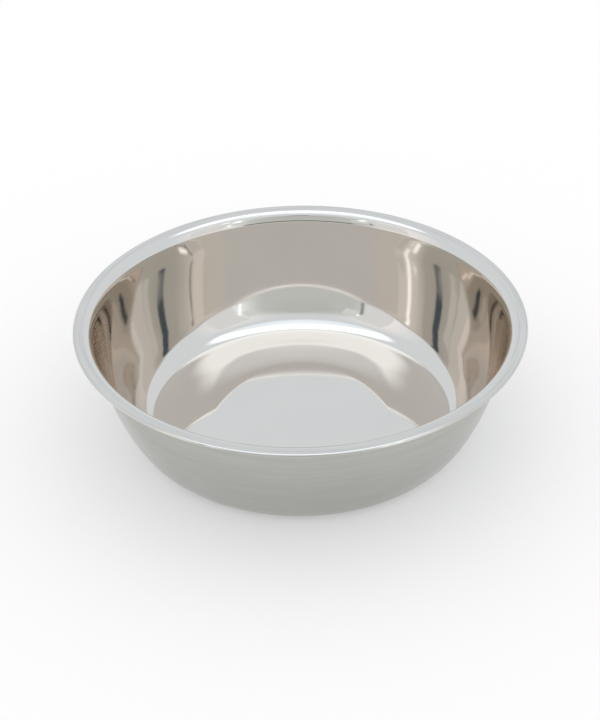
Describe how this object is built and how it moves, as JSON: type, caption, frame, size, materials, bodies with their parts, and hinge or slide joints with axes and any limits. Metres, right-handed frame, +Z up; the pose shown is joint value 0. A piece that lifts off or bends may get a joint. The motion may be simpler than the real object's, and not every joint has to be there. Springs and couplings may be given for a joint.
{
  "type": "round bowl",
  "caption": "Round pressed steel bowl with a raised disc in its floor, a bowed leaning wall and a flat rolled rim with its outer edge bent down, for holding liquids, swabs or instruments.",
  "frame": {"origin": "centre of the base, in the plane of the ring that stands on the table", "axes": "+Z up along the bowl's axis; X and Y are equal, because the bowl is round"},
  "size_m": [0.24, 0.24, 0.0665],
  "materials": {
    "steel": "bright polished stainless steel inside, satin outside"
  },
  "bodies": {
    "root": {"bowl": "steel"}
  },
  "joints": []
}
